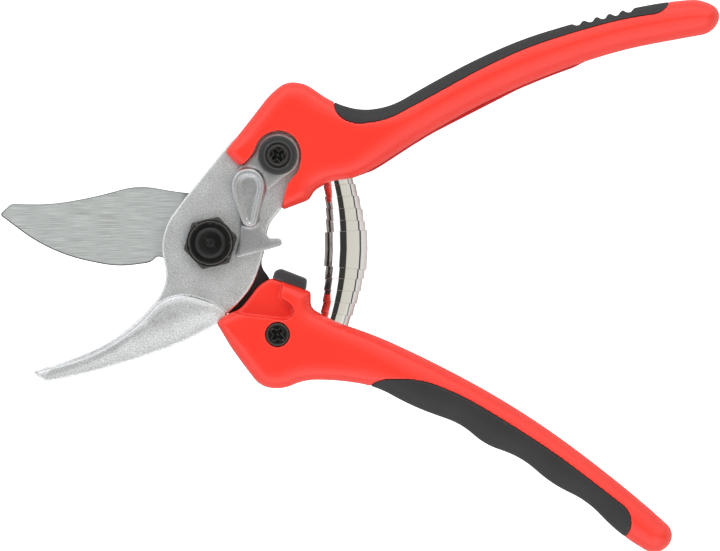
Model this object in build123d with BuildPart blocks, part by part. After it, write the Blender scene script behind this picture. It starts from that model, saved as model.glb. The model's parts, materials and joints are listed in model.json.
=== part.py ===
"""Bypass pruning shears, lying open on their side.

Millimetres. The pivot axis is the Z axis, and Z = 0 is the surface that the shears lie on.
The counter-blade half carries the upper handle (+Y). The blade half carries the lower handle (-Y)
and turns about Z to close the jaws.
"""

import os
from math import atan2, cos, radians, sin, tan

from build123d import *

os.makedirs("parts", exist_ok=True)

# ------------------------------------------------------------------ driving dimensions
HANDLE_THICK = 18.0  # both handles, measured up from the rest surface
MID_Z = HANDLE_THICK / 2  # the plane in which the two blades slide on each other
PLATE_TOP = MID_Z + 5.0  # top face of the counter-blade's plate
BLADE_TOP = MID_Z - 0.05
BLADE_THICK = 3.2
BLADE_BOTTOM = BLADE_TOP - BLADE_THICK
HOOK_TOP = PLATE_TOP + 2.3

SLIP = 0.03  # clearance round a part that is seated in a pocket
RUN_GAP = 0.05  # radial clearance of a running fit
SKIN_GAP = 0.35  # gap between parts that pass over each other
EDGE_SOFT = 3.0  # rounding of the handles' long edges
THROUGH = 4 * HANDLE_THICK  # longer than any hole that goes right through

BLADE_DISC_R = 14.2  # round part of the blade about the pivot
PIVOT_R = 4.0  # M8 pivot bolt
BUSH_R = 5.5  # bore of the blade, which turns on a plain bush
BUSH_BOTTOM = BLADE_BOTTOM - RUN_GAP
BOLT_HEAD_R = 7.0
BOLT_HEAD_HEIGHT = 3.8
BOLT_HEAD_SOFT = 0.6
STEEL_WASHER_R = 8.2
STEEL_WASHER_THICK = 0.8
STEEL_WASHER_TOP = BOLT_HEAD_HEIGHT + STEEL_WASHER_THICK
BEARING_WASHER_R = 9.4
NUT_CORNER_R = 7.9
NUT_FLANGE_R = 6.9
NUT_FLANGE = 0.8
NUT_HEIGHT = 3.8
NUT_TURN = 13.0  # how the hexagon stands
NUT_COLLAR_R = 6.3
NUT_COLLAR_WALL = 0.4
NUT_COLLAR_HEIGHT = 0.6
NUT_TOP = PLATE_TOP + NUT_FLANGE + NUT_HEIGHT
BOLT_TOP = NUT_TOP - 0.1
CAP_R = NUT_COLLAR_R - NUT_COLLAR_WALL
CAP_THICK = 0.3
CAP_BOSS_R = 4.5
CAP_BOSS_HEIGHT = 1.0
CAP_BOSS_BEVEL = 0.6
CAP_DIMPLE = (0.5, 0.6)  # radius and depth

CATCH_X, CATCH_Y = 19.3, 25.1  # axis of the safety catch
CATCH_EAR_R = 6.3
CATCH_BUSH_R = 3.2
WAVE_WASHER_R = 5.1
LEVER_BOTTOM = PLATE_TOP + SKIN_GAP
LEVER_THICK = 2.2
LEVER_TOP = LEVER_BOTTOM + LEVER_THICK
BUTTON_HEIGHT = 2.6
RECESS_FLOOR = PLATE_TOP - 0.1  # the catch's finger swings over this floor

CATCH_SCREW_R = 2.0  # M4
CATCH_SCREW_HEAD_R = 3.0
CATCH_SCREW_SEAT = 0.5  # how far its head sinks into the bush
CATCH_BUSH_FLANGE_R = 5.6
CATCH_BUSH_TOP = LEVER_TOP + 1.4
BUSH_COUNTERBORE_R = 3.6
BUTTON_DISH = 1.0

BLADE_SCREW_X, BLADE_SCREW_Y = 19.2, -26.2
BLADE_SCREW_R = 2.0  # M4
BLADE_SCREW_HEAD_R = 3.3
BLADE_SCREW_HOLE_R = 3.5
SCREW_HEAD_THICK = 2.2
SCREW_HEAD_SOFT = 0.5
SCREW_HEAD_SUNK = 1.8
CROSS_WIDTH = 0.8
CROSS_SHARE = 1.2  # length of the cross slot's arms, as a share of the head's radius
CROSS_DEPTH = 0.8
SCREW_END = 0.8
INSERT_R = 3.9  # hexagonal nuts pressed into the handles from below
INSERT_BOTTOM = 0.6
INSERT_TOP = 3.8

SPRING_ENDS = ((36.3, 18.6), (35.4, -22.2))
SPRING_BOW = 3.0  # how far the spring's middle stands out from the line between its ends
SPRING_STEPS = 6  # turns on each side of the middle one
SPRING_MID_R = 6.0
SPRING_STEP_R = 0.36  # each turn is this much smaller than the last
SPRING_STRIP = 0.5
SPRING_OVERLAP = 0.8  # half the strip's width, as a share of the distance between turns
SEAT_R = 4.6  # pocket in each handle for the spring's end
SEAT_DEPTH = 4.0
STUD_R = 2.6  # stud in that pocket, inside the spring
STUD_LENGTH = 7.0
STUD_ROOT = 0.5  # how far the stud starts inside the handle's wall

BUMPER_BOTTOM = 3.2
BUMPER_STEM = (4.6, 5.0, 6.4)  # along the handle's edge, into it, and up
BUMPER_STEM_AT = (22.0, -12.3, MID_Z - 0.4)
BUMPER_EDGE = (11.2, -3.9, 0)  # direction of the lower handle's edge under the bumper

GROOVE_R = 1.5  # thumb grooves across the end of the upper grip
GROOVE_COUNT = 5
GROOVE_FIRST = (105.0, 63.9)
GROOVE_STEP = (3.7, 0.93)


def corner_radii(points, sharp):
    """One rounding radius per corner of a closed loop, as large as its two sides allow.

    sharp maps a corner's index to a radius of its own.
    """
    radii = []
    for i, here in enumerate(points):
        before = Vector(*points[i - 1]) - Vector(*here)
        after = Vector(*points[(i + 1) % len(points)]) - Vector(*here)
        half_turn = radians(180 - before.get_angle(after)) / 2
        room = 0.48 * min(before.length, after.length)
        radii.append(sharp.get(i, round(room / tan(half_turn), 3)))
    return radii


def soft_loop(points, sharp=None):
    """A closed outline of straight sides joined by tangent arcs."""
    return FilletPolyline(*points, radius=corner_radii(points, sharp or {}), close=True)


UPWARDS = (Align.CENTER, Align.CENTER, Align.MIN)


def spring_seat(near, far):
    """Cuts the pocket for one end of the spring in the part being built, with a stud in it."""
    direction = Vector(*near, MID_Z) - Vector(*far, MID_Z)
    seat = Plane(origin=(near[0], near[1], MID_Z), z_dir=direction)
    with Locations(seat):
        Cylinder(SEAT_R, 2 * SEAT_DEPTH, mode=Mode.SUBTRACT)
    with Locations(seat.offset(SEAT_DEPTH + STUD_ROOT - STUD_LENGTH)):
        Cylinder(STUD_R, STUD_LENGTH, align=UPWARDS)


def save(piece, name):
    """Labels a finished part and writes its STEP file."""
    piece.part.label = name
    export_step(piece.part, f"parts/{name}.step")


# ------------------------------------------------------------------ outlines
# Upper handle: arm over the plate, head, grip, tip, and back along the inner edge to the lip.
UPPER_OUTLINE = [
    (4.0, 26.2), (10.0, 33.7), (17.0, 42.8), (21.6, 46.4), (27.0, 45.9), (35.0, 40.3),
    (43.5, 37.9), (52.0, 39.4), (62.0, 45.3), (76.0, 52.8), (90.0, 58.9), (104.0, 63.1),
    (118.0, 66.9), (130.0, 69.2), (140.6, 70.2), (146.9, 66.9), (144.6, 60.6), (134.0, 58.7),
    (120.0, 56.1), (106.0, 51.9), (92.0, 46.6), (76.0, 39.3), (60.0, 30.2), (48.0, 22.3),
    (41.5, 18.7), (34.0, 17.7), (29.6, 15.2), (28.2, 12.5), (20.7, 9.7), (16.2, 16.6), (8.6, 21.2),
]
# Part of the upper handle's top that is open, so that the plate shows and the catch can swing.
UPPER_WINDOW = [
    (20.4, 5.0), (20.9, 13.2), (22.4, 17.7), (25.2, 20.4), (26.2, 25.6), (24.3, 30.6),
    (19.3, 32.6), (14.0, 30.2), (12.4, 25.6), (8.4, 21.4), (4.6, 24.4), (-4.0, 18.0), (4.0, 4.0),
]
UPPER_SOFT_FROM = (5, 24, 32)  # its edges are rounded beyond this X, and above this Y or beyond the second X
# Lower handle, from its front tip along the outer edge.
LOWER_OUTLINE = [
    (2.0, -24.4), (8.2, -33.4), (14.2, -41.2), (20.5, -42.0), (27.0, -39.2), (36.0, -39.3),
    (47.0, -40.9), (58.0, -47.0), (72.0, -52.0), (78.5, -57.8), (89.0, -61.4), (98.0, -69.3),
    (108.0, -74.0), (117.0, -83.4), (128.2, -90.3), (134.2, -83.6), (124.0, -74.4),
    (109.0, -62.3), (94.0, -51.4), (78.0, -41.6), (62.0, -33.3), (48.0, -26.8), (36.0, -22.7),
    (28.6, -18.7), (28.6, -13.9), (17.4, -10.0), (13.8, -12.0), (9.2, -18.3),
]
LOWER_SOFT_FROM = (-25, 31)  # its edges are rounded below this Y or beyond this X
# Part of the lower handle's top that is lower, for the catch's finger.
LOWER_RECESS = [
    (-2.0, -20.2), (7.0, -20.4), (22.2, -22.2), (24.4, -19.6), (22.6, -16.9), (20.1, -15.9),
    (20.5, -12.4), (19.0, -4.0),
]
BUMPER_OUTLINE = [(17.6, -10.05), (18.4, -7.9), (20.1, -7.3), (27.6, -10.2), (27.3, -13.42)]
LEVER_OUTLINE = [
    (16.0, 30.4), (13.2, 26.0), (9.2, 22.2), (5.4, 19.0), (6.4, 14.0), (8.7, 7.4), (8.6, 1.0), (6.9, -4.3),
    (15.6, -2.1), (20.6, -0.7), (20.2, 1.4), (16.8, 1.4), (15.6, 3.4), (13.8, 7.4), (16.0, 15.0),
    (22.4, 19.9), (25.4, 23.0),
]
# Counter-blade, from the hook's tip round the plate; its raised hook follows.
COUNTER_OUTLINE = [
    (-51.6, -36.9), (-40.0, -33.4), (-29.0, -28.6), (-19.8, -21.2), (-14.0, -14.6), (-12.5, -9.0),
    (-14.4, -1.4), (-12.8, 5.6), (-6.6, 14.0), (0.4, 22.6), (6.0, 29.6), (12.0, 34.0), (22.0, 35.5),
    (30.0, 33.5),
    (44.0, 31.0), (43.0, 26.5), (30.0, 23.5), (24.5, 20.0), (20.8, 10.4), (16.5, 5.7), (14.8, -4.6),
    (12.0, -12.4), (7.0, -18.4), (-0.5, -24.6), (-10.0, -29.4), (-24.0, -34.2), (-36.0, -37.6),
    (-47.2, -39.9),
]
COUNTER_SHARP = {0: 0.6, 10: 3.0, 14: 2.0, 15: 2.0, 27: 2.0}
HOOK_RIM = [
    (-50.6, -37.1), (-39.4, -34.4), (-28.6, -29.8), (-19.0, -22.0), (-15.0, -17.0), (-8.0, -14.6),
    (0.5, -17.2), (5.5, -20.6), (-0.8, -24.8), (-10.0, -29.4), (-24.0, -34.2), (-36.0, -37.6),
    (-47.2, -39.9),
]
# Blade's cutting part, from its tip along the back; its tang follows.
BLADE_OUTLINE = [
    (-60.9, 8.2), (-57.6, 11.3), (-46.0, 11.1), (-33.0, 13.4), (-21.0, 16.8), (-10.0, 14.7), (0.0, 13.9),
    (0.0, -4.0), (-13.4, -4.4), (-15.5, -3.6), (-17.6, -5.6), (-27.0, -6.8), (-40.0, -4.2), (-50.0, 0.1),
]
TANG_OUTLINE = [
    (6.0, 9.0), (15.9, 0.0), (14.0, -6.6), (17.0, -10.1), (18.0, -16.0), (24.0, -23.0), (31.0, -28.5),
    (45.0, -32.5), (43.0, -37.0), (28.0, -36.6), (13.0, -33.5), (6.5, -23.0), (-2.0, -8.0),
]
# The catch's thumb button, and the dish in its top.
BUTTON_OUTLINE = [
    (8.2, 21.4), (13.4, 21.4), (16.0, 17.2), (14.8, 12.0), (13.2, 4.6), (9.4, 4.6), (6.8, 12.0), (5.6, 17.2),
]
DISH_OUTLINE = [
    (9.0, 19.4), (12.8, 19.4), (14.4, 16.4), (13.0, 11.6), (11.9, 5.4), (10.5, 5.4), (8.4, 11.6), (7.4, 16.4),
]
# The edge of each soft grip on its handle's outer side; the grips are everything beyond it.
UPPER_GRIP_EDGE = [
    (34.9, 41.4), (36.1, 36.5), (41.0, 34.0), (50.0, 35.0), (62.0, 41.4), (76.0, 49.2), (90.0, 55.8),
    (104.0, 60.4), (118.0, 64.2), (129.5, 65.9), (132.6, 70.5), (100.0, 72.0), (60.0, 56.0),
]
LOWER_GRIP_EDGE = [
    (44.5, -41.2), (49.0, -39.0), (60.0, -38.9), (72.0, -43.6), (86.0, -51.9), (100.0, -61.1),
    (114.0, -71.9), (121.3, -77.6), (119.0, -86.0), (104.0, -84.0), (70.0, -60.0),
]


# ------------------------------------------------------------------ counter-blade half
with BuildPart() as counter_blade:
    with BuildSketch(Plane.XY.offset(MID_Z)):
        with BuildLine():
            soft_loop(COUNTER_OUTLINE, COUNTER_SHARP)
        make_face()
    extrude(amount=PLATE_TOP - MID_Z)
    with BuildSketch(Plane.XY.offset(MID_Z)):
        with BuildLine():
            soft_loop(HOOK_RIM, {0: 0.8, 7: 1.5, 12: 1.2})
        make_face()
    extrude(amount=HOOK_TOP - MID_Z)
    with Locations((0, 0, MID_Z)):
        Cylinder(PIVOT_R + SLIP, THROUGH, mode=Mode.SUBTRACT)
    with Locations((CATCH_X, CATCH_Y, MID_Z)):
        Cylinder(CATCH_SCREW_R + SLIP, THROUGH, mode=Mode.SUBTRACT)

with BuildPart() as upper_body:
    with BuildSketch():
        with BuildLine():
            soft_loop(UPPER_OUTLINE, {0: 1.2, 27: 3.0, 28: 0.5})
        make_face()
    extrude(amount=HANDLE_THICK)
    long_edges = [
        edge
        for face in (upper_body.faces().sort_by(Axis.Z)[0], upper_body.faces().sort_by(Axis.Z)[-1])
        for edge in face.edges()
        if (edge @ 0.5).X > UPPER_SOFT_FROM[0]
        and ((edge @ 0.5).Y > UPPER_SOFT_FROM[1] or (edge @ 0.5).X > UPPER_SOFT_FROM[2])
    ]
    fillet(long_edges, radius=EDGE_SOFT)
    with BuildSketch(Plane.XY.offset(PLATE_TOP)):
        with BuildLine():
            soft_loop(UPPER_WINDOW, {0: 0, 11: 0, 12: 0, 10: 1.5})
        make_face()
    extrude(amount=HANDLE_THICK, mode=Mode.SUBTRACT)
    with BuildSketch(Plane.XY.offset(MID_Z)):
        with BuildLine():
            soft_loop(COUNTER_OUTLINE, COUNTER_SHARP)
        make_face()
    extrude(amount=PLATE_TOP - MID_Z, mode=Mode.SUBTRACT)
    with Locations((CATCH_X, CATCH_Y, 0)):
        Cylinder(CATCH_SCREW_R + SLIP, THROUGH, mode=Mode.SUBTRACT)
        Cylinder(INSERT_R + SLIP, 2 * INSERT_TOP, mode=Mode.SUBTRACT)
    spring_seat(*SPRING_ENDS)

with BuildPart() as upper_grip:
    add(upper_body.part)
    with BuildSketch():
        with BuildLine():
            soft_loop(UPPER_GRIP_EDGE)
        make_face()
    extrude(amount=HANDLE_THICK, mode=Mode.INTERSECT)
    grooves = [
        (GROOVE_FIRST[0] + GROOVE_STEP[0] * i, GROOVE_FIRST[1] + GROOVE_STEP[1] * i)
        for i in range(GROOVE_COUNT)
    ]
    with Locations(*grooves):
        Cylinder(GROOVE_R, THROUGH, mode=Mode.SUBTRACT)

with BuildPart() as upper_handle:
    add(upper_body.part)
    with BuildSketch():
        with BuildLine():
            soft_loop(UPPER_GRIP_EDGE)
        make_face()
    extrude(amount=HANDLE_THICK, mode=Mode.SUBTRACT)

save(counter_blade, "counter_blade")
save(upper_handle, "upper_handle")
save(upper_grip, "upper_grip")

# ------------------------------------------------------------------ blade half
with BuildPart() as blade:
    with BuildSketch(Plane.XY.offset(BLADE_BOTTOM)):
        with BuildLine():
            soft_loop(BLADE_OUTLINE, {0: 0.8, 1: 2.0, 7: 0, 8: 0.6})
        make_face()
        Circle(BLADE_DISC_R)
        with BuildLine():
            soft_loop(TANG_OUTLINE)
        make_face()
        Circle(BUSH_R, mode=Mode.SUBTRACT)
        with Locations((BLADE_SCREW_X, BLADE_SCREW_Y)):
            Circle(BLADE_SCREW_R + SLIP, mode=Mode.SUBTRACT)
    extrude(amount=BLADE_THICK)

bumper_plane = Plane(origin=BUMPER_STEM_AT, x_dir=BUMPER_EDGE, z_dir=(0, 0, 1))

with BuildPart() as lower_body:
    with BuildSketch():
        with BuildLine():
            soft_loop(LOWER_OUTLINE, {0: 1.0, 23: 3.0, 24: 1.0, 25: 1.0})
        make_face()
    extrude(amount=HANDLE_THICK)
    long_edges = [
        edge
        for face in (lower_body.faces().sort_by(Axis.Z)[0], lower_body.faces().sort_by(Axis.Z)[-1])
        for edge in face.edges()
        if (edge @ 0.5).Y < LOWER_SOFT_FROM[0] or (edge @ 0.5).X > LOWER_SOFT_FROM[1]
    ]
    fillet(long_edges, radius=EDGE_SOFT)
    with BuildSketch(Plane.XY.offset(RECESS_FLOOR)):
        with BuildLine():
            soft_loop(LOWER_RECESS, {0: 0, 1: 2.0, 5: 0.8, 6: 0.8, 7: 0})
        make_face()
    extrude(amount=HANDLE_THICK, mode=Mode.SUBTRACT)
    with BuildSketch(Plane.XY.offset(BLADE_BOTTOM)):
        with BuildLine():
            soft_loop(TANG_OUTLINE)
        make_face()
    extrude(amount=BLADE_THICK, mode=Mode.SUBTRACT)
    with Locations((BLADE_SCREW_X, BLADE_SCREW_Y, 0)):
        Cylinder(BLADE_SCREW_R + SLIP, THROUGH, mode=Mode.SUBTRACT)
        Cylinder(INSERT_R + SLIP, 2 * INSERT_TOP, mode=Mode.SUBTRACT)
    with Locations((BLADE_SCREW_X, BLADE_SCREW_Y, HANDLE_THICK)):
        Cylinder(BLADE_SCREW_HOLE_R, 2 * SCREW_HEAD_SUNK, mode=Mode.SUBTRACT)
    spring_seat(*reversed(SPRING_ENDS))
    with Locations(bumper_plane):
        Box(*BUMPER_STEM, mode=Mode.SUBTRACT)

with BuildPart() as lower_grip:
    add(lower_body.part)
    with BuildSketch():
        with BuildLine():
            soft_loop(LOWER_GRIP_EDGE)
        make_face()
    extrude(amount=HANDLE_THICK, mode=Mode.INTERSECT)

with BuildPart() as lower_handle:
    add(lower_body.part)
    with BuildSketch():
        with BuildLine():
            soft_loop(LOWER_GRIP_EDGE)
        make_face()
    extrude(amount=HANDLE_THICK, mode=Mode.SUBTRACT)

# The bumper is a block with a stem pressed into the handle.
with BuildPart() as bumper:
    with BuildSketch(Plane.XY.offset(BUMPER_BOTTOM)):
        with BuildLine():
            soft_loop(BUMPER_OUTLINE, {0: 0, 1: 1.2, 2: 1.2, 3: 1.0, 4: 0})
        make_face()
    extrude(amount=RECESS_FLOOR - BUMPER_BOTTOM)
    with Locations(bumper_plane):
        Box(*BUMPER_STEM)

save(blade, "blade")
save(lower_handle, "lower_handle")
save(lower_grip, "lower_grip")
save(bumper, "bumper")

# ------------------------------------------------------------------ pivot stack, from the rest surface up
with BuildPart() as pivot_bolt:
    Cylinder(BOLT_HEAD_R, BOLT_HEAD_HEIGHT, align=UPWARDS)
    fillet(pivot_bolt.faces().sort_by(Axis.Z)[-1].edges(), radius=BOLT_HEAD_SOFT)
    Cylinder(PIVOT_R, BOLT_TOP, align=UPWARDS)
    chamfer(pivot_bolt.faces().sort_by(Axis.Z)[-1].edges(), length=BOLT_HEAD_SOFT)

with BuildPart() as steel_washer:
    with BuildSketch(Plane.XY.offset(BOLT_HEAD_HEIGHT)):
        Circle(STEEL_WASHER_R)
        Circle(PIVOT_R + SLIP, mode=Mode.SUBTRACT)
    extrude(amount=STEEL_WASHER_THICK)

with BuildPart() as bearing_washer:
    with BuildSketch(Plane.XY.offset(STEEL_WASHER_TOP)):
        Circle(BEARING_WASHER_R)
        Circle(PIVOT_R + SLIP, mode=Mode.SUBTRACT)
    extrude(amount=BUSH_BOTTOM - STEEL_WASHER_TOP)

with BuildPart() as pivot_bush:
    with BuildSketch(Plane.XY.offset(BUSH_BOTTOM)):
        Circle(BUSH_R - RUN_GAP)
        Circle(PIVOT_R + SLIP, mode=Mode.SUBTRACT)
    extrude(amount=MID_Z - BUSH_BOTTOM)

with BuildPart() as pivot_nut:
    with BuildSketch(Plane.XY.offset(PLATE_TOP)):
        Circle(NUT_FLANGE_R)
        Circle(PIVOT_R + SLIP, mode=Mode.SUBTRACT)
    extrude(amount=NUT_FLANGE)
    with BuildSketch(Plane.XY.offset(PLATE_TOP + NUT_FLANGE)):
        RegularPolygon(NUT_CORNER_R, 6, rotation=NUT_TURN)
        Circle(PIVOT_R + SLIP, mode=Mode.SUBTRACT)
    extrude(amount=NUT_HEIGHT)
    with BuildSketch(Plane.XY.offset(NUT_TOP)):
        Circle(NUT_COLLAR_R)
        Circle(CAP_R, mode=Mode.SUBTRACT)
    extrude(amount=NUT_COLLAR_HEIGHT)

with BuildPart() as nut_cap:
    with BuildSketch(Plane.XY.offset(NUT_TOP)):
        Circle(CAP_R)
    extrude(amount=CAP_THICK)
    with Locations((0, 0, NUT_TOP + CAP_THICK)):
        Cylinder(CAP_BOSS_R, CAP_BOSS_HEIGHT, align=UPWARDS)
    chamfer(nut_cap.faces().sort_by(Axis.Z)[-1].edges(), length=CAP_BOSS_BEVEL)
    with Locations((0, 0, NUT_TOP + CAP_THICK + CAP_BOSS_HEIGHT)):
        Cone(0.0, *CAP_DIMPLE, mode=Mode.SUBTRACT)

save(pivot_bolt, "pivot_bolt")
save(steel_washer, "steel_washer")
save(bearing_washer, "bearing_washer")
save(pivot_bush, "pivot_bush")
save(pivot_nut, "pivot_nut")
save(nut_cap, "nut_cap")

# ------------------------------------------------------------------ safety catch
with BuildPart() as catch_lever:
    with BuildSketch(Plane.XY.offset(LEVER_BOTTOM)):
        with BuildLine():
            soft_loop(LEVER_OUTLINE, {7: 0.8, 9: 0.9, 10: 1.0, 11: 0.5, 14: 0.8})
        make_face()
        with Locations((CATCH_X, CATCH_Y)):
            Circle(CATCH_EAR_R)
    extrude(amount=LEVER_THICK)
    with BuildSketch(Plane.XY.offset(LEVER_TOP)):
        with BuildLine():
            soft_loop(BUTTON_OUTLINE)
        make_face()
    extrude(amount=BUTTON_HEIGHT)
    with BuildSketch(Plane.XY.offset(LEVER_TOP + BUTTON_HEIGHT - BUTTON_DISH)):
        with BuildLine():
            soft_loop(DISH_OUTLINE)
        make_face()
    extrude(amount=BUTTON_DISH, mode=Mode.SUBTRACT)
    with Locations((CATCH_X, CATCH_Y, LEVER_BOTTOM)):
        Cylinder(CATCH_BUSH_R + RUN_GAP, THROUGH, mode=Mode.SUBTRACT)

with BuildPart(Plane.XY.offset(PLATE_TOP)) as catch_wave_washer:
    with Locations((CATCH_X, CATCH_Y)):
        Cylinder(WAVE_WASHER_R, SKIN_GAP - 0.1, align=UPWARDS)
        Cylinder(CATCH_BUSH_R + SLIP, THROUGH, mode=Mode.SUBTRACT)

with BuildPart() as catch_bush:
    with BuildSketch(Plane.XY.offset(PLATE_TOP)):
        with Locations((CATCH_X, CATCH_Y)):
            Circle(CATCH_BUSH_R)
    extrude(amount=CATCH_BUSH_TOP - PLATE_TOP)
    with BuildSketch(Plane.XY.offset(LEVER_TOP + RUN_GAP)):
        with Locations((CATCH_X, CATCH_Y)):
            Circle(CATCH_BUSH_FLANGE_R)
            Circle(CATCH_BUSH_R, mode=Mode.SUBTRACT)
    extrude(amount=CATCH_BUSH_TOP - LEVER_TOP - RUN_GAP)
    with Locations((CATCH_X, CATCH_Y, CATCH_BUSH_TOP)):
        Cylinder(BUSH_COUNTERBORE_R, 2 * CATCH_SCREW_SEAT, mode=Mode.SUBTRACT)
    with Locations((CATCH_X, CATCH_Y, MID_Z)):
        Cylinder(CATCH_SCREW_R + SLIP, THROUGH, mode=Mode.SUBTRACT)

save(catch_lever, "catch_lever")
save(catch_wave_washer, "catch_wave_washer")
save(catch_bush, "catch_bush")

# ------------------------------------------------------------------ screws and their inserts
# Each screw's axis, the height of its seat, and the radius of its shank and head.
SCREWS = {
    "catch_screw": (CATCH_X, CATCH_Y, CATCH_BUSH_TOP - CATCH_SCREW_SEAT, CATCH_SCREW_R, CATCH_SCREW_HEAD_R),
    "blade_screw": (
        BLADE_SCREW_X, BLADE_SCREW_Y, HANDLE_THICK - SCREW_HEAD_SUNK, BLADE_SCREW_R, BLADE_SCREW_HEAD_R,
    ),
}
for name, (x, y, seat_z, shank_r, head_r) in SCREWS.items():
    arm = head_r * CROSS_SHARE
    with BuildPart() as screw:
        with Locations((x, y, seat_z)):
            Cylinder(head_r, SCREW_HEAD_THICK, align=UPWARDS)
            Cylinder(shank_r, seat_z - SCREW_END, align=(Align.CENTER, Align.CENTER, Align.MAX))
        fillet(screw.faces().sort_by(Axis.Z)[-1].edges(), radius=SCREW_HEAD_SOFT)
        with Locations((x, y, seat_z + SCREW_HEAD_THICK)):
            Box(CROSS_WIDTH, arm, 2 * CROSS_DEPTH, mode=Mode.SUBTRACT)
            Box(arm, CROSS_WIDTH, 2 * CROSS_DEPTH, mode=Mode.SUBTRACT)
    save(screw, name)
    with BuildPart() as insert:
        with BuildSketch(Plane.XY.offset(INSERT_BOTTOM)):
            with Locations((x, y)):
                RegularPolygon(INSERT_R, 6)
                Circle(shank_r + SLIP, mode=Mode.SUBTRACT)
        extrude(amount=INSERT_TOP - INSERT_BOTTOM)
    save(insert, name.replace("screw", "nut"))

# ------------------------------------------------------------------ volute spring
# Rings of strip that telescope into each other, widest in the middle and narrow at both ends.
low_end, high_end = Vector(*SPRING_ENDS[1], MID_Z), Vector(*SPRING_ENDS[0], MID_Z)
half_chord = (high_end - low_end).length / 2
bow_r = (half_chord**2 + SPRING_BOW**2) / (2 * SPRING_BOW)
chord_dir = (high_end - low_end).normalized()
bow_dir = chord_dir.cross(Vector(0, 0, 1))
bow_centre = (low_end + high_end) * 0.5 - bow_dir * (bow_r - SPRING_BOW)
bow_half_angle = atan2(half_chord, bow_r - SPRING_BOW)
turn_height = bow_r * bow_half_angle / SPRING_STEPS

with BuildPart() as volute_spring:
    for step in range(-SPRING_STEPS + 1, SPRING_STEPS):
        swing = bow_half_angle * step / SPRING_STEPS
        along = chord_dir * cos(swing) - bow_dir * sin(swing)
        middle = bow_centre + (bow_dir * cos(swing) + chord_dir * sin(swing)) * bow_r
        ring_r = SPRING_MID_R - SPRING_STEP_R * abs(step)
        with BuildSketch(Plane(origin=middle, z_dir=along)):
            Circle(ring_r)
            Circle(ring_r - SPRING_STRIP, mode=Mode.SUBTRACT)
        extrude(amount=turn_height * SPRING_OVERLAP, both=True)

save(volute_spring, "volute_spring")
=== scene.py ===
import json
from math import atan2, cos, pi, radians, sin

import bmesh
import bpy
import numpy as np
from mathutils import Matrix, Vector

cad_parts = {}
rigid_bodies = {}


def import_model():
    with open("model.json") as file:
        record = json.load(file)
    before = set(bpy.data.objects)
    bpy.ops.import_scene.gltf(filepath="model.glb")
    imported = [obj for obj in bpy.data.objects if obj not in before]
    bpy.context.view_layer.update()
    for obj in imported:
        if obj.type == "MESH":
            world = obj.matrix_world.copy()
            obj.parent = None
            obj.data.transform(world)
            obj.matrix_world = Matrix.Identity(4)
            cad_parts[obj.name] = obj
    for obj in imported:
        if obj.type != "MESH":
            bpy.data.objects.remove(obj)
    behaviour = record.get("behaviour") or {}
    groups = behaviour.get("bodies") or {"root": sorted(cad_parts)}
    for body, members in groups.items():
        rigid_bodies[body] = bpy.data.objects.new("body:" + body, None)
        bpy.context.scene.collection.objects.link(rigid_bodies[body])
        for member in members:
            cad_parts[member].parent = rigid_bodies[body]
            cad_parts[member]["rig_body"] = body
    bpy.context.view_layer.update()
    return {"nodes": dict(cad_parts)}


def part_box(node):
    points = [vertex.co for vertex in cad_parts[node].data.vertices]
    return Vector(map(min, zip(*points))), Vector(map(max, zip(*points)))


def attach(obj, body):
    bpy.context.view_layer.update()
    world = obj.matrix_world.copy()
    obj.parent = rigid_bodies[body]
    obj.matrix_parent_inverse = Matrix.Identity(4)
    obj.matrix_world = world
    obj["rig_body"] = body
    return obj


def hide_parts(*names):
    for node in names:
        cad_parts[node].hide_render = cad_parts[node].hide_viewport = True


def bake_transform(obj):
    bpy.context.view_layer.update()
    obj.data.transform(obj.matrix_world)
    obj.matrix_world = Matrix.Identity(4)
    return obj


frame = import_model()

MM = 0.001

# ==============================================================================
# Studio: the shears lie on a white table under the camera, lit by two soft lamps that stay
# out of reflections. The room that metal mirrors is bright on both sides and at both ends,
# with a dark bar overhead.
# ==============================================================================
scene = bpy.context.scene
scene.view_settings.view_transform = "Standard"

VIEW_CENTRE = Vector((42.8 * MM, -9.3 * MM))
VIEW_WIDTH = 206.6 * MM
CAMERA_HEIGHT = 1500 * MM
SENSOR = 36.0
focus_z = 13 * MM

camera = bpy.data.objects.new("camera", bpy.data.cameras.new("camera"))
camera.data.sensor_width = SENSOR
camera.data.lens = SENSOR * (CAMERA_HEIGHT - focus_z) / VIEW_WIDTH
camera.data.clip_end = 20
camera.location = (VIEW_CENTRE.x, VIEW_CENTRE.y, CAMERA_HEIGHT)
scene.collection.objects.link(camera)
scene.camera = camera


def soft_light(name, place, size, power, tint=(1, 1, 1)):
    """A square area light that faces the middle of the shears, kept out of reflections."""
    lamp = bpy.data.lights.new(name, "AREA")
    lamp.size = size
    lamp.energy = power
    lamp.color = tint
    light = bpy.data.objects.new(name, lamp)
    light.location = place
    aim = Vector((VIEW_CENTRE.x, VIEW_CENTRE.y, 0)) - Vector(place)
    light.rotation_euler = aim.to_track_quat("-Z", "Y").to_euler()
    light.visible_glossy = False
    scene.collection.objects.link(light)


soft_light("key", (-0.25, 0.60, 0.80), 0.6, 3.2)
soft_light("fill", (0.45, -0.65, 0.7), 0.7, 1.3, (1, 0.98, 0.95))

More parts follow.
